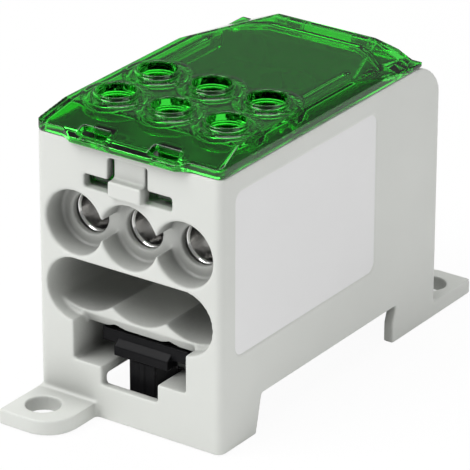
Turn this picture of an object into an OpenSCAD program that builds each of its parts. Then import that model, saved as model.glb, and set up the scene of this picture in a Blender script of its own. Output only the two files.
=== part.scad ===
// Power distribution block: one large cable in, six small wires out.
// X runs across the wire entries, Y from the output side to the input side, Z up.
// Origin: centre of the footprint, on the mounting surface.

/* [Housing] */
// Width of the housing
body_w = 32.8; // [32.4:0.1:38]
// Depth of the housing between its wire faces
body_d = 58.2; // [57.6:0.1:66]
// Height of the walls up to the cover seam
wall_h = 43.5; // [43:0.1:48]
// Thickness of the outer walls
wall_t = 1.75; // [1.5:0.05:1.9]
// Rounding of the upright edges
edge_r = 1.2; // [0.6:0.1:1.6]
// Rounding of the rear top corner, seen from the side
rear_top_r = 7.8; // [6:0.1:8.4]
// Height of the floor that carries the terminal block
floor_z = 15; // [14.9:0.05:15.2]
// Thickness of that floor
floor_t = 1.6; // [1.4:0.05:1.7]

/* [Rail seat] */
// Width of the mounting rail
rail_w = 35; // [34.8:0.1:35.4]
// Play between the rail and its seat
rail_play = 1.3; // [1:0.1:1.5]
// Depth of the front leg at its top
leg_d = 10.5; // [10.2:0.1:11]
// Draft of the front leg's rear face
leg_draft = 1.4; // [0.5:0.1:1.6]
// Height of the rail seat above the base
rail_seat_h = 6.1; // [5.8:0.1:6.5]
// Thickness of the deck over the rail
deck_t = 2.35; // [2:0.05:2.6]
// Reach of the fixed hook under the rail's edge
hook_reach = 1; // [0.6:0.1:1.6]
// Height of the fixed hook's lip
hook_lip_h = 3.3; // [2.6:0.1:3.8]

/* [Feet] */
// Width of a foot
foot_w = 10.45; // [10:0.05:12]
// Length of a foot beyond the housing
foot_l = 10; // [9.6:0.1:12]
// Thickness of a foot
foot_t = 2.45; // [2:0.05:3]
// Corner rounding of a foot
foot_r = 5; // [3:0.1:5.2]
// Diameter of the screw holes
foot_hole_d = 5.3; // [4.5:0.1:5.6]
// Distance of a screw hole from the housing's side face
foot_hole_x = 4.4; // [4:0.1:5]
// Distance of a screw hole from the housing's end face
foot_hole_y = 4.95; // [4.4:0.1:5.4]

/* [Output wire entries] */
// Wall between the outermost tunnels and the side faces
out_margin = 1.6; // [1.4:0.05:1.7]
// Diameter of an entry tunnel
entry_d = 10.1; // [9.9:0.1:10.4]
// Height of the upper row of tunnels
upper_entry_z = 30.35; // [30.2:0.05:30.6]
// Distance from the upper row down to the lower row
entry_drop = 10.7; // [10.6:0.05:10.9]
// Depth of the upper tunnels
entry_depth = 4.15; // [4:0.05:4.3]
// Thickness of the web between a tunnel and the terminal block
web_t = 1.1; // [0.8:0.1:1.2]
// Diameter of the holes in that web
web_hole_d = 6.4; // [6.2:0.05:6.6]
// Rounding of the troughs that guide the lower wires
trough_r = 8; // [7.5:0.1:9]
// Height of the troughs' bottom
trough_z = 15.6; // [15.4:0.1:15.8]
// Distance of the troughs' lip behind the front face
trough_inset = 2.45; // [2.2:0.05:2.8]

/* [Release window] */
// Width of the window's upper part
window_w = 20.2; // [19:0.1:21]
// Width of the window's lower part
slot_w = 10.05; // [9.9:0.05:11]
// Height of the sill under the lower part
sill_z = 5.5; // [5.3:0.1:5.8]

/* [Input wire entry] */
// Diameter of the cable tunnel
input_tunnel_d = 13.8; // [13.4:0.1:15]
// Diameter of its flared mouth
input_mouth_d = 16; // [15.5:0.1:17]
// Wall of the tunnel's tube
input_tube_t = 1.3; // [1:0.1:1.6]

/* [Terminal block] */
// Side gap between the metal block and the outer walls
block_side_gap = 0.45; // [0.35:0.05:0.8]
// Height of the block's top face
block_top_z = 39; // [38:0.1:39.4]
// Depth of the block at its upper step
block_d = 41; // [40.6:0.1:42]
// Setback of the lower step
block_step = 10.9; // [10.6:0.1:11]
// Diameter of the output wire bores
out_bore_d = 5.8; // [5.4:0.1:6]
// Depth of the upper wire bores
out_bore_l = 10; // [9.4:0.1:10.2]
// Extra depth of the lower wire bores
low_bore_more = 3; // [2.6:0.1:3.2]
// Diameter of the input wire bore
in_bore_d = 12.5; // [12:0.1:12.8]
// Depth of the input wire bore
in_bore_l = 17; // [16:0.1:17.2]
// Height of the input wire bore
in_bore_z = 26; // [25.6:0.1:26.4]
// Gap between the block and the housing
block_gap = 0.3; // [0.2:0.05:0.3]

/* [Clamp screws] */
// Thread diameter of the output screws
out_screw_d = 5.4; // [5:0.1:5.6]
// Length of the output screws
out_screw_l = 6.5; // [5.5:0.1:6.8]
// Thread diameter of the input screw
in_screw_d = 11.8; // [10:0.1:11.9]
// Length of the input screw
in_screw_l = 9; // [8:0.1:10]
// Running clearance of the screws in their threads
screw_clear = 0.05; // [0.02:0.01:0.09]
// Key size of the output screws
out_key = 3; // [2.5:0.1:3.5]
// Key size of the input screw
in_key = 6; // [5:0.1:7]

/* [Cover] */
// Wall thickness of the cover
cover_t = 1.2; // [0.9:0.1:1.3]
// Height of the cover's upright rim
rim_h = 1.4; // [1.2:0.1:1.8]
// Height of the cover's top plate above the seam
plate_h = 3.35; // [3.2:0.05:3.8]
// Length of the front slope
slope_l = 5.8; // [5.2:0.1:6]
// Gap at the seam between cover and housing
seam_gap = 0.1; // [0.05:0.01:0.12]
// Distance from the front face to the first row of screw holes
row_y = 10.8; // [10.8:0.1:11]
// Distance between the two rows of screw holes
row_pitch = 10.2; // [10:0.1:10.4]
// Inner diameter of the screw collars
collar_d = 5.8; // [5:0.1:5.9]
// Wall of the screw collars
collar_t = 0.5; // [0.4:0.05:0.6]
// Height of the collars above the plate
collar_h = 0.8; // [0.5:0.1:1.2]
// Outer diameter of the guard sleeves round the collars
sleeve_d = 9.8; // [9.4:0.1:9.8]
// Wall of the guard sleeves
sleeve_t = 0.5; // [0.4:0.05:0.6]
// How far the front grip stands proud
grip_out = 1.3; // [0.8:0.1:1.6]
// Width of the front grip at its root
grip_w = 22.4; // [21:0.1:23]
// Setback of the plate's side edge at the start of the corner facets
facet_inset = 1; // [0.6:0.05:1.05]
// Length of the rear corner facets along the plate's side
facet_l = 17.3; // [15:0.1:18]
// Width of the rear corner facets at the plate's rear edge
facet_w = 7.6; // [6.5:0.1:8]
// Fall of the rear corner facets, in degrees
facet_fall = 23.4; // [20:0.2:24]

/* [Hinge] */
// Distance of the hinge axis from the rear face
hinge_in = 5.85; // [5.6:0.05:6.2]
// Radius of the hinge barrels
barrel_r = 0.9; // [0.8:0.05:0.95]
// Radius of the hinge pins
pin_r = 0.5; // [0.4:0.05:0.55]
// Running clearance of the pins
pin_clear = 0.05; // [0.02:0.01:0.09]
// Sideways distance of the hinge ears from the middle
ear_x = 6; // [4:0.1:6.8]
// Width of a hinge ear
ear_w = 2.4; // [2:0.1:3]
// Side gap beside an ear
ear_gap = 0.3; // [0.2:0.05:0.4]

/* [Catch] */
// Width of the flexible tongue
tongue_w = 5.6; // [5:0.1:5.8]
// Width of the slits beside the tongue
slit_w = 0.7; // [0.5:0.05:0.9]
// Height of the cross slot's lower edge
catch_z = 36.6; // [36.5:0.1:36.9]
// Height of the cross slot
catch_h = 2.15; // [2:0.05:2.4]
// Width of the cross slot
catch_w = 15.6; // [15:0.1:16]
// Height of the slits above the cross slot
slit_h = 3.45; // [3:0.05:3.6]
// How far the tongue's knob stands proud
knob_out = 0.9; // [0.5:0.1:1.4]

/* [Rail latch] */
// Width of the latch plate
plate_w = 15.4; // [14:0.1:16]
// Height of the underside of the latch plate
plate_z = 10.7; // [10.6:0.05:10.8]
// Thickness of the latch plate
latch_t = 2.1; // [1.8:0.05:2.15]
// Width of the grip head
head_w = 9.7; // [9:0.1:9.8]
// Width of the stem
stem_w = 4.7; // [4:0.1:5.4]
// Width of the nose that holds the rail
nose_w = 9.4; // [8.5:0.1:9.5]
// How far the nose reaches under the rail
nose_reach = 1.1; // [0.8:0.1:1.4]
// Height of the top of the nose
nose_z = 4.9; // [4.6:0.05:4.95]
// Travel of the latch
latch_travel = 1.4; // [1.2:0.05:1.45]

/* [Label] */
// Length of the label
label_l = 36.7; // [30:0.1:38]
// Height of the label
label_h = 26; // [20:0.1:27]
// Thickness of the label
label_t = 0.15; // [0.1:0.01:0.2]
// Depth of the label's recess
label_recess = 0.3; // [0.2:0.05:0.4]

/* [Hidden] */
$fn = 64;
eps = 0.01;
over = 1;                                   // overrun of a cut past a face

light_grey = [0.84, 0.85, 0.83];
clear_green = [0.1, 0.62, 0.12, 0.6];
tin = [0.78, 0.78, 0.76];
zinc = [0.7, 0.7, 0.72];
black = [0.08, 0.08, 0.09];
paper = [0.9, 0.9, 0.9];

half_w = body_w / 2;
inner_half_w = half_w - wall_t;
out_pitch = (body_w - entry_d) / 2 - out_margin;   // distance between neighbouring outputs
lower_entry_z = upper_entry_z - entry_drop;
hook_y = leg_d + rail_w + rail_play;        // end of the undercut behind the rail
deck_z = rail_seat_h + deck_t;
floor_under = floor_z - floor_t;
gallery_top = lower_entry_z + entry_d / 2;
block_w = 2 * (inner_half_w - block_side_gap);
block_y = entry_depth + web_t + block_gap;  // front face of the upper step
step_y = block_y + block_step;              // front face of the lower step
step_z = gallery_top + 1.85;                // underside of the upper step
block_end = block_y + block_d;
in_screw_y = block_end - 8;
chamber_step_z = upper_entry_z + entry_d / 2 + 0.8;
cover_z = wall_h + seam_gap;                // underside of the cover's rim
plate_top = wall_h + plate_h;
hinge_z = cover_z + barrel_r;
hinge_y = body_d - hinge_in;
cover_end = hinge_y + barrel_r;
plate_end = hinge_y - 1.05;
facet_start = plate_end - facet_l;          // where the corner facets meet the side edge
facet_turn = atan((facet_w - facet_inset) / facet_l);
rim_top = cover_z + rim_h;
ledge_z = cover_z + 0.75;                   // height of the ledge beside the corner facets
catch_x = catch_w / 2;
arm_w = 3.6;
arm_x = catch_x - 0.3 - arm_w / 2;
arm_y = wall_t + 0.35;
arm_t = 1.2;
tongue_y = 0.6;                             // setback of the tongue's face
relief_y = 1;                               // inner face of the thinned wall over the catch
latch_y = 2.9;                              // front of the latch's grip head
channel_end = 34;
nose_end = hook_y - rail_w + nose_reach;
label_y = 3.6;
label_z = 14.4;

// Moves the local frame, whose Y starts at the front face, onto the part's frame.
module from_front() {
    translate([0, -body_d / 2, 0]) children();
}

// Extrudes a side view, drawn as (y, z), symmetrically along X.
module side_slab(width) {
    translate([-width / 2, 0, 0]) rotate([90, 0, 90]) linear_extrude(width) children();
}

// Extrudes a front view, drawn as (x, z), from y0 to y1.
module front_slab(y0, y1) {
    translate([0, y1, 0]) rotate([90, 0, 0]) linear_extrude(y1 - y0) children();
}

// Box centred on X, given by its Y and Z limits.
module slab(width, y0, y1, z0, z1) {
    translate([-width / 2, y0, z0]) cube([width, y1 - y0, z1 - z0]);
}

// Cylinder along Y, from y0 to y1.
module bore_y(x, y0, y1, z, r) {
    translate([x, y0, z]) rotate([-90, 0, 0]) cylinder(h = y1 - y0, r = r);
}

module rounded_rect(w, h, r) {
    union() {
        translate([r, 0]) square([w - 2 * r, h]);
        translate([0, r]) square([w, h - 2 * r]);
        for (x = [r, w - r], y = [r, h - r]) translate([x, y]) circle(r = r);
    }
}

function out_x(i) = (i - 1) * out_pitch;

// ---------------------------------------------------------------- housing

module rounded_end_outline(inset) {
    r = rear_top_r - inset;
    centre = [body_d - rear_top_r, wall_h - rear_top_r];
    union() {
        translate([inset, 0]) square([centre[0] - inset, wall_h - inset]);
        translate([inset, 0]) square([body_d - 2 * inset, centre[1]]);
        translate(centre) circle(r = r);
    }
}

module rail_seat_outline() {
    polygon([
        [leg_d - leg_draft, -over],
        [leg_d - leg_draft, 0],
        [leg_d, rail_seat_h],
        [hook_y, rail_seat_h],
        [hook_y - hook_reach, hook_lip_h],
        [hook_y - hook_reach, -over]
    ]);
}

module foot() {
    difference() {
        linear_extrude(foot_t) union() {
            square([foot_w, foot_l - foot_r]);
            square([foot_w - foot_r, foot_l]);
            translate([foot_w - foot_r, foot_l - foot_r]) circle(r = foot_r);
            translate([0, -2 * edge_r]) square([foot_w, 2 * edge_r + eps]);
        }
        translate([foot_hole_x, foot_hole_y, -over]) cylinder(h = foot_t + 2 * over, d = foot_hole_d);
    }
}

// One foot at the front left and the same foot, turned round, at the rear right.
module feet() {
    translate([-half_w, 0, 0]) mirror([0, 1, 0]) foot();
    translate([half_w, body_d, 0]) mirror([1, 0, 0]) foot();
}

module outer_body() {
    intersection() {
        side_slab(body_w) difference() {
            rounded_end_outline(0);
            rail_seat_outline();
        }
        translate([-half_w, 0, -over]) linear_extrude(wall_h + 2 * over)
            rounded_rect(body_w, body_d, edge_r);
    }
}

// The room for the terminal block, open at the top.
module chamber() {
    intersection() {
        side_slab(2 * inner_half_w) union() {
            rounded_end_outline(wall_t);
            translate([wall_t, wall_h - wall_t - eps]) square([hinge_y - barrel_r - wall_t, wall_t + over]);
        }
        union() {
            slab(body_w, step_y - block_gap, body_d, floor_z, wall_h + over);
            slab(body_w, block_y - block_gap, body_d, step_z - block_gap, wall_h + over);
            slab(body_w, 0, body_d, chamber_step_z, wall_h + over);
        }
    }
}

module gallery_outline() {
    translate([-out_pitch - entry_d / 2, lower_entry_z - entry_d / 2])
        rounded_rect(2 * out_pitch + entry_d, entry_d, entry_d / 2 - eps);
}

module output_entries() {
    for (i = [0:2]) {
        bore_y(out_x(i), -over, entry_depth, upper_entry_z, entry_d / 2);
        bore_y(out_x(i), entry_depth - eps, block_y, upper_entry_z, web_hole_d / 2);
        translate([out_x(i), -eps, upper_entry_z]) rotate([-90, 0, 0])
            cylinder(h = 0.3, r1 = entry_d / 2 + 0.3, r2 = entry_d / 2);
    }
    front_slab(-over, trough_inset) gallery_outline();
    front_slab(trough_inset - eps, step_y - block_gap + eps) intersection() {
        gallery_outline();
        for (i = [0:2]) translate([out_x(i), trough_z + trough_r]) circle(r = trough_r);
    }
}

// Stepped window in the front wall and the channel the rail latch slides in.
module latch_channel() {
    nose_run = 1.25;
    lip_under = trough_r + trough_z - floor_under + 0.5;   // radius under the troughs' lips
    scallop_end = 7;
    slab(window_w, -over, channel_end, deck_z, floor_under);
    slab(window_w, -over, trough_inset, deck_z, lower_entry_z);
    side_slab(window_w) polygon([
        [trough_inset - eps, floor_under - eps], [trough_inset + nose_run, floor_under - eps],
        [trough_inset + nose_run, floor_under], [trough_inset, trough_z - 0.3], [trough_inset - eps, trough_z - 0.3]
    ]);
    front_slab(trough_inset - eps, scallop_end) difference() {
        translate([-window_w / 2, floor_under - eps]) square([window_w, trough_z + 1.4 - floor_under]);
        for (i = [0:2]) translate([out_x(i), trough_z + trough_r]) circle(r = lip_under);
    }
    slab(slot_w, -over, leg_d - 1.2, sill_z, deck_z + eps);
    front_leg_top = rail_seat_h + 0.7;
    slab(slot_w, wall_t - 0.3, leg_d + 0.5, -over, front_leg_top);
    for (s = [-1, 1]) translate([s * (slot_w / 4 + 0.8 + inner_half_w / 2), 0, 0])
        slab(inner_half_w - slot_w / 2 - 1.6, wall_t, leg_d + 0.5, -over, front_leg_top);
}

// Ledges that carry the latch plate's edges.
module latch_guides() {
    for (s = [-1, 1]) translate([s * (window_w / 2 - 1.3), 0, 0]) {
        slab(2.6 + eps, 8, channel_end, deck_z - eps, plate_z - 0.2);
        slab(2.6 + eps, 8, channel_end, plate_z + latch_t + 0.2, floor_under + eps);
    }
}

module rear_leg_hollow() {
    slab(2 * inner_half_w, hook_y - hook_reach - 3, body_d - wall_t, -over, rail_seat_h);
    slab(2 * inner_half_w, hook_y + 1, body_d - wall_t, rail_seat_h - eps, floor_under - 2);
}

module input_tube() {
    bore_y(0, block_end + block_gap, body_d - wall_t / 2, in_bore_z, input_tunnel_d / 2 + input_tube_t);
}

module input_tunnel() {
    flare = 2.5;
    bore_y(0, block_end, body_d + over, in_bore_z, input_tunnel_d / 2);
    translate([0, body_d - flare, in_bore_z]) rotate([-90, 0, 0])
        cylinder(h = flare + eps, r1 = input_tunnel_d / 2, r2 = input_mouth_d / 2);
}

// The T-shaped slot and the thinned wall above it.
module catch_slot() {
    slab(catch_w, -over, wall_t + over, catch_z, catch_z + catch_h);
    slab(tongue_w + 2 * slit_w, -over, wall_t + over, catch_z, catch_z + catch_h + slit_h);
    for (s = [-1, 1]) translate([s * arm_x, 0, 0])
        slab(arm_w + 0.6, relief_y, wall_t + over, catch_z, wall_h + over);
}

// Tongue hanging from the wall's top edge, with its knob at the free end.
module tongue() {
    foot_z = catch_z + 0.3;
    knob_h = 2.4;
    slab(tongue_w, tongue_y, wall_t, foot_z, catch_z + catch_h + slit_h + eps);
    slab(tongue_w + 0.2, -knob_out, tongue_y + eps, foot_z, foot_z + knob_h - 0.3);
    slab(tongue_w + 0.2, -knob_out, -0.15, foot_z - 0.4, foot_z + knob_h - 0.3);
}

module hinge_ear(side) {
    ear_r = barrel_r - 0.05;
    translate([side * ear_x, 0, 0]) {
        side_slab(ear_w) union() {
            translate([hinge_y, hinge_z]) circle(r = ear_r);
            translate([hinge_y - ear_r, wall_h - wall_t]) square([2 * ear_r, hinge_z - wall_h + wall_t]);
        }
        translate([side * (ear_w / 2 - eps), hinge_y, hinge_z]) rotate([0, side * 90, 0])
            cylinder(h = 2.2, r = pin_r);
    }
}

module label_pocket(depth) {
    translate([half_w - depth, label_y, label_z]) rotate([90, 0, 90])
        linear_extrude(depth + over) rounded_rect(label_l, label_h, 1.7);
}

module housing() {
    color(light_grey) from_front() {
        difference() {
            union() {
                difference() {
                    outer_body();
                    chamber();
                }
                intersection() {
                    outer_body();
                    input_tube();
                }
                feet();
            }
            output_entries();
            difference() {
                latch_channel();
                latch_guides();
            }
            rear_leg_hollow();
            input_tunnel();
            catch_slot();
            label_pocket(label_recess);
            slab(2 * inner_half_w, hinge_y - barrel_r - 0.2, hinge_y + barrel_r + 0.2, wall_h - 0.3, wall_h + over);
        }
        tongue();
        for (s = [-1, 1]) hinge_ear(s);
    }
}

// ---------------------------------------------------------------- cover

// Side view of the cover, set in by a wall thickness for its inside.
module cover_outline(inset) {
    top = plate_top - inset;
    lift = inset * 0.25;
    polygon([
        [inset, cover_z - (inset > 0 ? over : 0)],
        [inset, cover_z + rim_h - inset * 0.6],
        [slope_l + lift, top],
        [plate_end - lift, top],
        [hinge_y + barrel_r * 0.5 - inset * 1.9, hinge_z + barrel_r * 0.866 - inset * 0.8],
        [hinge_y - inset * 1.9, cover_z - (inset > 0 ? over : 0)]
    ]);
}

// Everything above the two sloping facets at the rear corners, lowered by drop, and above the rim.
module facet_cuts(drop) {
    intersection() {
        for (s = [-1, 1]) translate([s * (half_w - facet_inset), facet_start, plate_top - drop])
            rotate([0, 0, s * facet_turn]) rotate([0, s * facet_fall, 0])
                translate([s > 0 ? 0 : -half_w, -half_w, 0]) cube([half_w, 2 * body_w, plate_h]);
        slab(2 * body_w, 0, body_d, ledge_z - drop, plate_top + over);
    }
}

// The sides above the rim lean in by the facets' inset; moved inwards by shift.
module lean_cuts(shift) {
    lean = atan(facet_inset / (plate_top - rim_top));
    for (s = [-1, 1]) translate([s * (half_w - shift), 0, rim_top - shift * 0.6]) rotate([0, -s * lean, 0])
        translate([s > 0 ? 0 : -half_w, -over, 0]) cube([half_w, body_d, 2 * plate_h]);
}

module cover_form() {
    difference() {
        intersection() {
            side_slab(body_w) cover_outline(0);
            translate([-half_w, 0, 0]) linear_extrude(2 * wall_h) rounded_rect(body_w, body_d, edge_r);
        }
        facet_cuts(0);
        lean_cuts(0);
    }
}

module cover_inside() {
    difference() {
        side_slab(body_w - 2 * cover_t) cover_outline(cover_t);
        facet_cuts(cover_t);
        lean_cuts(cover_t);
    }
}

// Lip that stands proud in the middle of the front rim, to lift the cover by.
module front_grip() {
    end_l = 1.9;
    intersection() {
        translate([0, 0, cover_z]) linear_extrude(plate_h) polygon([
            [-grip_w / 2, cover_t], [-grip_w / 2, 0], [end_l - grip_w / 2, -grip_out],
            [grip_w / 2 - end_l, -grip_out], [grip_w / 2, 0], [grip_w / 2, cover_t]
        ]);
        side_slab(body_w) polygon([
            [-grip_out, cover_z], [-grip_out, cover_z + rim_h - 0.45],
            [cover_t, cover_z + rim_h + 0.4], [cover_t, cover_z]
        ]);
    }
}

module each_collar() {
    for (i = [0:2], j = [0, 1]) translate([out_x(i), row_y + j * row_pitch, 0]) children();
}

module ring(r_out, r_in, z0, z1) {
    translate([0, 0, z0]) difference() {
        cylinder(h = z1 - z0, r = r_out);
        translate([0, 0, -over]) cylinder(h = z1 - z0 + 2 * over, r = r_in);
    }
}

// Arms that reach down behind the front wall and look out of the cross slot.
module catch_arms() {
    foot_z = catch_z + 0.3;
    for (s = [-1, 1]) translate([s * arm_x, 0, 0]) side_slab(arm_w) polygon([
        [arm_y, foot_z + 1.5], [relief_y + 0.5, foot_z + 1.2], [relief_y + 0.5, foot_z + 0.6],
        [arm_y, foot_z], [arm_y + arm_t, foot_z], [arm_y + arm_t, plate_top - cover_t],
        [arm_y, cover_z + rim_h]
    ]);
}

// Rib under the plate, across its rear and out to the sides.
module rear_rib() {
    x1 = half_w - facet_w - 0.8;
    x2 = inner_half_w;
    y1 = plate_end - 3.1;
    y2 = plate_end - 7.3;
    rib_t = 0.8;
    translate([0, 0, rim_top - 0.4]) linear_extrude(plate_top - cover_t - rim_top + 0.5) polygon([
        [-x2, y2], [-x1, y1], [x1, y1], [x2, y2],
        [x2, y2 - rib_t], [x1, y1 - rib_t], [-x1, y1 - rib_t], [-x2, y2 - rib_t]
    ]);
}

module barrel(side) {
    x_in = ear_x + ear_w / 2 + ear_gap;
    x_out = half_w - facet_w + 3.2;
    translate([side * x_in, hinge_y, hinge_z]) rotate([0, side * 90, 0])
        cylinder(h = x_out - x_in, r = barrel_r);
}

module cover() {
    under_plate = plate_top - cover_t + eps;
    pocket_w = 5;
    locate_l = 32;
    color(clear_green) from_front() difference() {
        union() {
            difference() {
                union() {
                    cover_form();
                    front_grip();
                }
                cover_inside();
            }
            difference() {
                union() {
                    for (s = [-1, 1]) {
                        barrel(s);
                        translate([s * (inner_half_w - 0.5), 0, 0])
                            slab(2, plate_end - 5.2, plate_end - 0.8, cover_z, rim_top + 0.4);
                    }
                    rear_rib();
                }
                facet_cuts(0);
                lean_cuts(0);
            }
            for (s = [-1, 1]) {
                translate([s * (inner_half_w - 0.3 - 0.5), 0, 0])
                    slab(1, row_y, row_y + locate_l, wall_h - 1.2, plate_top - cover_t - 0.6);
                translate([s * (out_pitch + 2.65), 0, 0])
                    slab(0.6, row_y + row_pitch + 5.5, row_y + row_pitch + 17, under_plate - 1.2, under_plate);
            }
            each_collar() {
                translate([0, 0, wall_h + 0.3]) cylinder(h = plate_h + collar_h - 0.3, d = collar_d + 2 * collar_t);
                translate([0, 0, under_plate]) cylinder(h = cover_t + 0.2, d = sleeve_d);
                ring(sleeve_d / 2, sleeve_d / 2 - sleeve_t, wall_h + 0.6, under_plate);
            }
            catch_arms();
        }
        each_collar() cylinder(h = 2 * wall_h, d = collar_d);
        for (s = [-1, 1]) {
            translate([s * ear_x, 0, 0])
                bore_x(ear_w + 2 * ear_gap, barrel_r + 0.6);
            translate([s * ear_x, 0, 0])
                slab(ear_w + 2 * ear_gap, hinge_y - 0.4, hinge_y + 2 * barrel_r, cover_z - over, hinge_z + 0.2);
            translate([s * (ear_x + ear_w / 2), 0, 0]) bore_x(2 * 2.6, pin_r + pin_clear);
            translate([s * (arm_x + 0.6), 0, 0])
                slab(pocket_w, -0.4, 1.7, cover_z + 0.5, plate_top);
        }
    }
}

// Cylinder along X on the hinge axis.
module bore_x(width, r) {
    translate([-width / 2, hinge_y, hinge_z]) rotate([0, 90, 0]) cylinder(h = width, r = r);
}

// ---------------------------------------------------------------- terminal block

// Wire bore with a drill's tip at its end.
module drilling(x, y0, y1, z) {
    bore_y(x, y0 - over, y1, z, out_bore_d / 2);
    translate([x, y1 - eps, z]) rotate([-90, 0, 0])
        cylinder(h = out_bore_d * 0.3, r1 = out_bore_d / 2, r2 = eps);
}

module terminal_block() {
    color(tin) from_front() difference() {
        union() {
            slab(block_w, block_y, block_end, step_z, block_top_z);
            slab(block_w, step_y, block_end, floor_z, step_z + eps);
        }
        for (i = [0:2]) {
            drilling(out_x(i), block_y, block_y + out_bore_l, upper_entry_z);
            drilling(out_x(i), step_y, step_y + out_bore_l + low_bore_more, lower_entry_z);
            for (y = [block_y, step_y]) translate([out_x(i), y - eps, y == block_y ? upper_entry_z : lower_entry_z])
                rotate([-90, 0, 0]) cylinder(h = 0.35, r1 = out_bore_d / 2 + 0.35, r2 = out_bore_d / 2);
            for (j = [0, 1]) translate([out_x(i), row_y + j * row_pitch, j == 0 ? upper_entry_z : lower_entry_z])
                cylinder(h = block_top_z, d = out_screw_d + 2 * screw_clear);
        }
        bore_y(0, block_end - in_bore_l, block_end + over, in_bore_z, in_bore_d / 2);
        translate([0, in_screw_y, in_bore_z]) cylinder(h = block_top_z, d = in_screw_d + 2 * screw_clear);
    }
}

// ---------------------------------------------------------------- screws

// Socket set screw standing on z = 0, with chamfered ends.
module set_screw(d, l, key) {
    c = d * 0.08;
    difference() {
        union() {
            cylinder(h = c, r1 = d / 2 - c, r2 = d / 2);
            translate([0, 0, c]) cylinder(h = l - 2 * c, r = d / 2);
            translate([0, 0, l - c]) cylinder(h = c, r1 = d / 2, r2 = d / 2 - c);
        }
        translate([0, 0, l - key * 0.8]) cylinder(h = key, d = key / cos(30), $fn = 6);
    }
}

// Output screws 1 to 3 clamp the upper wires, 4 to 6 the lower ones.
module output_screw(n) {
    column = (n - 1) % 3;
    lower = n > 3;
    bore_z = lower ? lower_entry_z : upper_entry_z;
    color(zinc) from_front()
        translate([out_x(column), row_y + (lower ? row_pitch : 0), bore_z + out_bore_d / 2 + 0.1])
            set_screw(out_screw_d, out_screw_l, out_key);
}

module input_screw() {
    color(zinc) from_front() translate([0, in_screw_y, in_bore_z + in_bore_d / 2 + 0.1])
        set_screw(in_screw_d, in_screw_l, in_key);
}

// ---------------------------------------------------------------- rail latch

module rail_latch() {
    plate_y = latch_y + 1.1;
    plate_end_y = plate_y + 14;
    stem_y = latch_y + 0.4;
    stem_back = leg_d - 1.2 - 0.3;
    rib_w = 1;
    rib_out = 0.2;
    head_drop = 1.4;
    nose_y = 7.2;
    color(black) from_front() {
        slab(plate_w, plate_y, plate_end_y, plate_z, plate_z + latch_t);
        slab(plate_w - 2, plate_y + 1.2, plate_end_y, plate_z, plate_z + latch_t + 0.15);
        side_slab(head_w) polygon([
            [latch_y, plate_z - head_drop], [plate_y + 1.4, plate_z - head_drop], [plate_y + 1.4, plate_z + 1],
            [plate_y, plate_z + 1], [latch_y, plate_z + 0.1]
        ]);
        slab(stem_w, stem_y, stem_back, nose_z - 2.5, plate_z + eps);
        slab(rib_w, stem_y - rib_out, stem_y + eps, nose_z - 2.5, plate_z - head_drop + eps);
        side_slab(nose_w) polygon([
            [nose_y, nose_z - 2.5], [nose_end - 2.2, nose_z - 2.5], [nose_end, nose_z - 0.8],
            [nose_end, nose_z], [nose_y, nose_z]
        ]);
        for (s = [-1, 1]) {
            translate([s * (plate_w / 2 - 3.5), 0, 0]) {
                slab(1.2, plate_end_y - eps, channel_end - 4, plate_z, plate_z + latch_t);
                translate([s * 1.2, 0, 0])
                    slab(3.6, channel_end - 4 - eps, channel_end - 3, plate_z, plate_z + latch_t);
                translate([s * 2.5, 0, 0])
                    slab(1, channel_end - 3 - eps, channel_end - 0.1, plate_z, plate_z + latch_t);
            }
        }
    }
}

// ---------------------------------------------------------------- label

module label() {
    color(paper) from_front() translate([half_w - label_recess, label_y + 0.1, label_z + 0.1])
        rotate([90, 0, 90]) linear_extrude(label_t) rounded_rect(label_l - 0.2, label_h - 0.2, 1.6);
}

housing();
cover();
terminal_block();
rail_latch();
label();
input_screw();
output_screw(1);  // output_screw_1
output_screw(2);  // output_screw_2
output_screw(3);  // output_screw_3
output_screw(4);  // output_screw_4
output_screw(5);  // output_screw_5
output_screw(6);  // output_screw_6
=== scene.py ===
import math

import bmesh
import bpy
from mathutils import Matrix, Vector


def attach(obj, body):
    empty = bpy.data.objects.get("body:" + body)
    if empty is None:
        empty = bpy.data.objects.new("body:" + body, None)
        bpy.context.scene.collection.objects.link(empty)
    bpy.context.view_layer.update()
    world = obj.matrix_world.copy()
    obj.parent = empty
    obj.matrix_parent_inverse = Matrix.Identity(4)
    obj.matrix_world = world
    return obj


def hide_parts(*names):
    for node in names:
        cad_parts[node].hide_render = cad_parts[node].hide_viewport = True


# Looks of the power distribution block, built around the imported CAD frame. All lengths are in metres.

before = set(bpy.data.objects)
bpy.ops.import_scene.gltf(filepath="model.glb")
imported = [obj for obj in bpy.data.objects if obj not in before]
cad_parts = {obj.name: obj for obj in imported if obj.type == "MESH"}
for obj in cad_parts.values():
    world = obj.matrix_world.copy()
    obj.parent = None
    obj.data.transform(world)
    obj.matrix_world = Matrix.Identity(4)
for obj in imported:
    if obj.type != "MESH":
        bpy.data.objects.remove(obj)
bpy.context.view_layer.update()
MM = 0.001
HALF_DEPTH = 29.1 * MM      # from the part's middle to the housing's front face

# ---------------------------------------------------------------- camera

AZIMUTH, ELEVATION, ROLL = math.radians(34.825), math.radians(24.461), math.radians(0.165)
LENS, SENSOR = 296.1, 36
# A point near the left end of the front's bottom edge: its place in the frame, and as the camera sees it
ANCHOR = Vector((-15.96 * MM, -HALF_DEPTH, 0))
ANCHOR_RIGHT, ANCHOR_UP, ANCHOR_BACK = -28.585 * MM, -24.435 * MM, -575.077 * MM


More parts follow.
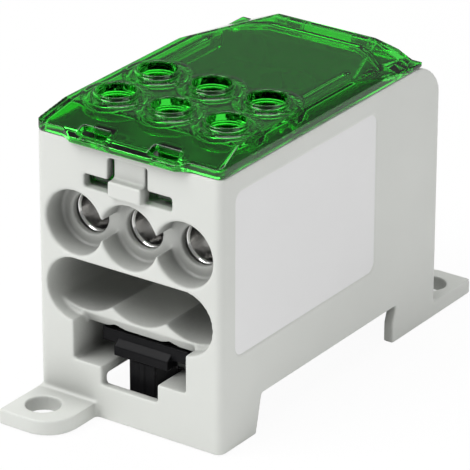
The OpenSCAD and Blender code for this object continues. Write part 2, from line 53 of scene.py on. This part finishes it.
def make_camera():
    back = Vector((
        math.sin(AZIMUTH) * math.cos(ELEVATION),
        -math.cos(AZIMUTH) * math.cos(ELEVATION),
        math.sin(ELEVATION),
    ))
    level = Vector((0, 0, 1)).cross(back).normalized()
    upright = back.cross(level)
    right = level * math.cos(ROLL) + upright * math.sin(ROLL)
    up = upright * math.cos(ROLL) - level * math.sin(ROLL)
    eye = ANCHOR - (right * ANCHOR_RIGHT + up * ANCHOR_UP + back * ANCHOR_BACK)

    data = bpy.data.cameras.new("camera")
    data.sensor_width = SENSOR
    data.lens = LENS
    data.clip_start, data.clip_end = 0.01, 10
    cam = bpy.data.objects.new("camera", data)
    cam.matrix_world = Matrix.Translation(eye) @ Matrix((right, up, back)).transposed().to_4x4()
    bpy.context.scene.collection.objects.link(cam)
    bpy.context.scene.camera = cam


make_camera()

# ---------------------------------------------------------------- node helpers


def new_material(name):
    mat = bpy.data.materials.new(name)
    mat.use_nodes = True
    nt = mat.node_tree
    nt.nodes.clear()
    out = nt.nodes.new("ShaderNodeOutputMaterial")
    bsdf = nt.nodes.new("ShaderNodeBsdfPrincipled")
    nt.links.new(bsdf.outputs["BSDF"], out.inputs["Surface"])
    return mat, nt, bsdf


def noise(nt, scale, detail=3):
    co = nt.nodes.new("ShaderNodeTexCoord")
    n = nt.nodes.new("ShaderNodeTexNoise")
    n.inputs["Scale"].default_value = scale
    n.inputs["Detail"].default_value = detail
    nt.links.new(co.outputs["Object"], n.inputs["Vector"])
    return n.outputs["Fac"]


def ramp(nt, fac, a, b, start=0.3, end=0.7):
    """Colour a below the start, colour b above the end."""
    node = nt.nodes.new("ShaderNodeValToRGB")
    low, high = node.color_ramp.elements
    low.position, low.color = start, (*a, 1)
    high.position, high.color = end, (*b, 1)
    nt.links.new(fac, node.inputs["Fac"])
    return node.outputs["Color"]


def span(nt, fac, low, high, start=0, end=1):
    """Low at the start, high at the end."""
    node = nt.nodes.new("ShaderNodeMapRange")
    node.inputs["From Min"].default_value = start
    node.inputs["From Max"].default_value = end
    node.inputs["To Min"].default_value = low
    node.inputs["To Max"].default_value = high
    nt.links.new(fac, node.inputs["Value"])
    return node.outputs["Result"]


def bump(nt, fac, distance, strength=1.0):
    node = nt.nodes.new("ShaderNodeBump")
    node.inputs["Distance"].default_value = distance
    node.inputs["Strength"].default_value = strength
    nt.links.new(fac, node.inputs["Height"])
    return node.outputs["Normal"]


def mixed(nt, kind, fac, socket, value):
    """The socket's value, going over to a fixed one with the factor."""
    mix = nt.nodes.new("ShaderNodeMix")
    mix.data_type = kind
    a, b = [i for i in mix.inputs if i.enabled and i.name in "AB"]
    nt.links.new(fac, mix.inputs["Factor"])
    nt.links.new(socket, a)
    b.default_value = value
    return [o for o in mix.outputs if o.enabled][0]


def math_node(nt, operation, a, b):
    """A Math node's result. b is a socket or a number."""
    node = nt.nodes.new("ShaderNodeMath")
    node.operation = operation
    nt.links.new(a, node.inputs[0])
    if isinstance(b, (int, float)):
        node.inputs[1].default_value = b
    else:
        nt.links.new(b, node.inputs[1])
    return node.outputs[0]


def scaled(colour, factor):
    return [min(1, c * factor) for c in colour]


# ---------------------------------------------------------------- materials

HOUSING_GREY = (0.72, 0.735, 0.70)
LATCH_BLACK = (0.01, 0.01, 0.011)
LABEL_WHITE = (0.86, 0.86, 0.86)
TIN = (0.95, 0.945, 0.93)
ZINC = (0.62, 0.62, 0.63)
# Painted shade: the grey that the metal's tops go over to, for the dark under the cover
SHADED_TOP_GREY = (0.3, 0.3, 0.295, 1)
CLEAR_GREEN = (0.045, 0.71, 0.055), (0.055, 0.75, 0.065)
# Painted shade: the dark green that bounced light meets on the cover, which keeps the inside dark
INSIDE_SHADE_GREEN = (0.004, 0.03, 0.005, 1)

# Painted shade: an ambient occlusion node darkens the housing's colour in its recesses
RECESS_REACH = 12 * MM      # how far apart walls still close a recess in
RECESS_DARKEST = 0.08
RECESS_DEEP, RECESS_OPEN = 0.05, 0.85
# heights above which the metal carries that painted shade
BLOCK_SHADED_ABOVE = 35 * MM
SCREW_SHADED_ABOVE = 27 * MM


def painted_recess_shade(nt, colour):
    """Painted shade: the colour, darkened by an ambient occlusion node where the piece's own walls close it
    in.
    """
    ao = nt.nodes.new("ShaderNodeAmbientOcclusion")
    ao.samples, ao.only_local = 8, True
    ao.inputs["Distance"].default_value = RECESS_REACH
    shade = ramp(nt, ao.outputs["AO"], [RECESS_DARKEST] * 3, [1] * 3, RECESS_DEEP, RECESS_OPEN)
    mul = nt.nodes.new("ShaderNodeMix")
    mul.data_type, mul.blend_type = "RGBA", "MULTIPLY"
    mul.inputs["Factor"].default_value = 1
    nt.links.new(colour, mul.inputs["A"])
    nt.links.new(shade, mul.inputs["B"])
    return mul.outputs["Result"]


def moulded(name, base, rough, spread=0.02, grain=2500, shade_recesses=False):
    """Moulded plastic: colour and gloss wander a little, over a fine grain. If asked, painted shade darkens
    its recesses.
    """
    mat, nt, p = new_material(name)
    colour = ramp(nt, noise(nt, 60), scaled(base, 1 - spread), scaled(base, 1 + spread))
    if shade_recesses:
        colour = painted_recess_shade(nt, colour)
    nt.links.new(colour, p.inputs["Base Color"])
    nt.links.new(span(nt, noise(nt, 220), rough - 0.05, rough + 0.05), p.inputs["Roughness"])
    nt.links.new(bump(nt, noise(nt, grain, 2), 0.01 * MM), p.inputs["Normal"])
    return mat, p


# The housing plastic, with painted shade in its recesses
def housing_plastic():
    return moulded("housing_plastic", HOUSING_GREY, 0.42, shade_recesses=True)[0]


def latch_plastic():
    mat, p = moulded("latch_plastic", LATCH_BLACK, 0.26, spread=0.2)
    p.inputs["Specular IOR Level"].default_value = 0.07
    return mat


def label_face():
    return moulded("label_face", LABEL_WHITE, 0.35, spread=0.01, grain=900)[0]


def metal(name, base, rough, stretch, shaded_above):
    """Metal with its grain drawn out by the stretch. It is bright below a height; above it, painted shade
    turns it a flat matt grey, for the dark under the cover.
    """
    mat, nt, p = new_material(name)
    co = nt.nodes.new("ShaderNodeTexCoord")
    mapping = nt.nodes.new("ShaderNodeMapping")
    mapping.inputs["Scale"].default_value = stretch
    n = nt.nodes.new("ShaderNodeTexNoise")
    n.inputs["Scale"].default_value = 900
    nt.links.new(co.outputs["Object"], mapping.inputs["Vector"])
    nt.links.new(mapping.outputs["Vector"], n.inputs["Vector"])
    grain = n.outputs["Fac"]

    place = nt.nodes.new("ShaderNodeSeparateXYZ")
    nt.links.new(co.outputs["Object"], place.inputs[0])
    # painted shade: above the height the colour is the flat grey and the metal turns matt
    shaded_top = span(nt, place.outputs["Z"], 0, 1, shaded_above, shaded_above + MM)
    colour = mixed(nt, "RGBA", shaded_top, ramp(nt, grain, scaled(base, 0.9), base), SHADED_TOP_GREY)
    gloss = mixed(nt, "FLOAT", shaded_top, span(nt, grain, rough - 0.06, rough + 0.08), 0.7)
    nt.links.new(span(nt, shaded_top, 1, 0), p.inputs["Metallic"])
    p.inputs["Specular IOR Level"].default_value = 0.1
    nt.links.new(colour, p.inputs["Base Color"])
    nt.links.new(gloss, p.inputs["Roughness"])
    nt.links.new(bump(nt, grain, 0.02 * MM, 0.6), p.inputs["Normal"])
    return mat


def cover_plastic():
    """Clear tinted plastic. To rays bounced off matt surfaces it is a dark green matt sheet, painted shade,
    so that little light gets inside.
    """
    mat, nt, p = new_material("cover_plastic")
    nt.links.new(ramp(nt, noise(nt, 30), *CLEAR_GREEN), p.inputs["Base Color"])
    nt.links.new(span(nt, noise(nt, 120), 0.02, 0.06), p.inputs["Roughness"])
    p.inputs["Transmission Weight"].default_value = 1
    p.inputs["IOR"].default_value = 1.5
    # painted shade: a dark matt sheet for rays bounced off matt surfaces
    shade_sheet = nt.nodes.new("ShaderNodeBsdfDiffuse")
    shade_sheet.inputs["Color"].default_value = INSIDE_SHADE_GREEN
    path = nt.nodes.new("ShaderNodeLightPath")
    mix = nt.nodes.new("ShaderNodeMixShader")
    nt.links.new(path.outputs["Is Diffuse Ray"], mix.inputs["Fac"])
    nt.links.new(p.outputs["BSDF"], mix.inputs[1])
    nt.links.new(shade_sheet.outputs["BSDF"], mix.inputs[2])
    nt.links.new(mix.outputs["Shader"], nt.nodes["Material Output"].inputs["Surface"])
    return mat


# ---------------------------------------------------------------- pieces

MOULDING_TRIANGLES = 190000
FLAT_WITHIN = 0.05 * MM     # faces this close to flat are joined
HOUSING_VOXEL, HOUSING_PASSES = 0.2 * MM, 4
COVER_VOXEL, COVER_PASSES = 0.15 * MM, 2
BLOCK_EDGE, LATCH_EDGE, LABEL_EDGE = 0.06 * MM, 0.16 * MM, 0.04 * MM
INPUT_SCREW_EDGE, OUTPUT_SCREW_EDGE = 0.1 * MM, 0.06 * MM
OUTPUT_SCREWS = 6


def put(name, me, node, body, mat):
    """A new piece that stands for a CAD node and rides on its body."""
    me.materials.clear()
    me.materials.append(mat)
    ob = bpy.data.objects.new(name, me)
    bpy.context.scene.collection.objects.link(ob)
    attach(ob, body)
    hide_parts(node)
    return ob


def mesh_from(bm, name):
    me = bpy.data.meshes.new(name)
    bm.to_mesh(me)
    bm.free()
    return me


def baked(ob):
    """The object's mesh with its modifiers applied."""
    me = bpy.data.meshes.new_from_object(ob.evaluated_get(bpy.context.evaluated_depsgraph_get()))
    ob.modifiers.clear()
    ob.data = me
    return me


def welded(node):
    """The node's triangles as a new bmesh, with their corners joined."""
    bm = bmesh.new()
    bm.from_mesh(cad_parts[node].data)
    bmesh.ops.remove_doubles(bm, verts=bm.verts, dist=0.002 * MM)
    return bm


def smooth_faces(me):
    for f in me.polygons:
        f.use_smooth = True


def cut_box(ob, low, high):
    """Takes a box out of the object."""
    bm = bmesh.new()
    bmesh.ops.create_cube(bm, size=1)
    for v in bm.verts:
        v.co = Vector([(a + b) / 2 + c * (b - a) for a, b, c in zip(low, high, v.co)])
    tool = bpy.data.objects.new("cut", mesh_from(bm, "cut"))
    bpy.context.scene.collection.objects.link(tool)
    cut = ob.modifiers.new("cut", "BOOLEAN")
    cut.operation, cut.object, cut.solver = "DIFFERENCE", tool, "EXACT"
    baked(ob)
    bpy.data.objects.remove(tool)


def remesh(ob, voxel, adaptivity=0):
    r = ob.modifiers.new("remesh", "REMESH")
    r.mode, r.voxel_size, r.adaptivity = "VOXEL", voxel, adaptivity


def moulding(node, name, mat, voxel, passes, cut=None):
    """A copy of the node's shape with every edge rounded as in a mould. Its body has the node's name."""
    ob = put(name, mesh_from(welded(node), name), node, node, mat)
    if cut:
        cut_box(ob, *cut)
    remesh(ob, voxel)
    soften = ob.modifiers.new("round", "SMOOTH")
    soften.factor, soften.iterations = 0.5, passes
    remesh(ob, voxel, FLAT_WITHIN)
    me = baked(ob)
    me.calc_loop_triangles()
    thin = ob.modifiers.new("thin", "DECIMATE")
    thin.ratio = min(1, MOULDING_TRIANGLES / len(me.loop_triangles))
    me = baked(ob)
    me.materials.clear()
    me.materials.append(mat)
    smooth_faces(me)
    normals = ob.modifiers.new("normals", "WEIGHTED_NORMAL")
    normals.weight, normals.keep_sharp = 80, False


def bevelled(node, name, body, mat, width):
    """A copy of the node's mesh with its sharp edges bevelled."""
    bm = welded(node)
    bmesh.ops.dissolve_limit(bm, angle_limit=math.radians(0.5), verts=bm.verts, edges=bm.edges)
    me = mesh_from(bm, name)
    ob = put(name, me, node, body, mat)
    b = ob.modifiers.new("bevel", "BEVEL")
    b.width, b.segments = width, 2
    b.limit_method, b.angle_limit = "ANGLE", math.radians(28)
    b.use_clamp_overlap = False
    smooth_faces(me)
    me.set_sharp_from_angle(angle=math.radians(35))
    ob.modifiers.new("normals", "WEIGHTED_NORMAL").keep_sharp = True


# The front leg's hollow runs clear across behind the latch's stem, up to the deck
HOLLOW_HALF_WIDTH = 6.7 * MM
HOLLOW_FRONT = -HALF_DEPTH + 1.6 * MM
HOLLOW_REAR = -HALF_DEPTH + 11 * MM
HOLLOW_BELOW, HOLLOW_TOP = -1 * MM, 6.8 * MM
leg_hollow = (
    (-HOLLOW_HALF_WIDTH, HOLLOW_FRONT, HOLLOW_BELOW),
    (HOLLOW_HALF_WIDTH, HOLLOW_REAR, HOLLOW_TOP),
)

moulding("housing", "housing_shell", housing_plastic(),
         HOUSING_VOXEL, HOUSING_PASSES, leg_hollow)
moulding("cover", "clear_cover", cover_plastic(), COVER_VOXEL, COVER_PASSES)

block_metal = metal("block_metal", TIN, 0.2, (1, 0.15, 1), BLOCK_SHADED_ABOVE)
bevelled("terminal_block", "clamp_block", "housing", block_metal, BLOCK_EDGE)
bevelled("rail_latch", "latch_slider", "rail_latch", latch_plastic(), LATCH_EDGE)
bevelled("label", "label_plate", "housing", label_face(), LABEL_EDGE)

screw_metal = metal("screw_metal", ZINC, 0.28, (1, 1, 0.3), SCREW_SHADED_ABOVE)
bevelled("input_screw", "input_set_screw", "input_screw", screw_metal, INPUT_SCREW_EDGE)
for i in range(1, OUTPUT_SCREWS + 1):
    body = f"output_screw_{i}"
    bevelled(body, f"output_set_screw_{i}", body, screw_metal, OUTPUT_SCREW_EDGE)

# ---------------------------------------------------------------- studio

WHITE = (1, 1, 1, 1)
FILL_STRENGTH = 0.21
AIM = Vector((0, 0, 20 * MM))
FLOOR_HALF_SIZE = 1.5
FLOOR_GAP = 0.2 * MM        # keeps the floor and the feet's undersides apart
FLOOR_GLOW = 0.95           # the rest of what the camera sees there is lit paint, which holds the shadow


def shown_white(nt, lit, white, share, glossy):
    """White for camera and transmission rays, and for glossy rays by their own part; else the lit shader."""
    path = nt.nodes.new("ShaderNodeLightPath")
    fac = path.outputs["Is Camera Ray"]
    for ray, part in (("Is Transmission Ray", 1), ("Is Glossy Ray", glossy)):
        fac = math_node(nt, "MAXIMUM", fac, math_node(nt, "MULTIPLY", path.outputs[ray], part))
    mix = nt.nodes.new("ShaderNodeMixShader")
    nt.links.new(math_node(nt, "MULTIPLY", fac, share), mix.inputs["Fac"])
    nt.links.new(lit, mix.inputs[1])
    nt.links.new(white, mix.inputs[2])
    return mix.outputs[0]


def make_world():
    world = bpy.data.worlds.new("studio")
    world.use_nodes = True
    bpy.context.scene.world = world
    nt = world.node_tree
    nt.nodes.clear()
    out = nt.nodes.new("ShaderNodeOutputWorld")
    shaders = []
    for strength in (FILL_STRENGTH, 1):
        background = nt.nodes.new("ShaderNodeBackground")
        background.inputs["Color"].default_value = WHITE
        background.inputs["Strength"].default_value = strength
        shaders.append(background.outputs[0])
    nt.links.new(shown_white(nt, *shaders, 1, 0.02), out.inputs["Surface"])


def lamp(name, at, size, power):
    data = bpy.data.lights.new(name, "AREA")
    data.size, data.energy = size, power
    ob = bpy.data.objects.new(name, data)
    ob.location = at
    ob.rotation_euler = (AIM - Vector(at)).to_track_quat("-Z", "Y").to_euler()
    bpy.context.scene.collection.objects.link(ob)


def floor_paint():
    mat, nt, p = new_material("floor_paint")
    nt.links.new(ramp(nt, noise(nt, 8), (0.9, 0.9, 0.9), (0.92, 0.92, 0.92)), p.inputs["Base Color"])
    p.inputs["Roughness"].default_value = 0.9
    glow = nt.nodes.new("ShaderNodeEmission")
    shown = shown_white(nt, p.outputs[0], glow.outputs[0], FLOOR_GLOW, 0.3)
    nt.links.new(shown, nt.nodes["Material Output"].inputs["Surface"])
    return mat


def make_floor():
    bm = bmesh.new()
    bmesh.ops.create_grid(bm, x_segments=1, y_segments=1, size=FLOOR_HALF_SIZE)
    me = mesh_from(bm, "floor")
    me.materials.append(floor_paint())
    floor = bpy.data.objects.new("floor", me)
    floor.location.z = -FLOOR_GAP
    bpy.context.scene.collection.objects.link(floor)


make_world()
lamp("key", (-0.28, -0.42, 0.62), 0.5, 4.6)
lamp("side", (0.6, -0.1, 0.3), 0.4, 0.72)
lamp("top", (0, 0.1, 0.7), 0.5, 2.3)
make_floor()
bpy.context.scene.view_settings.view_transform = "Standard"
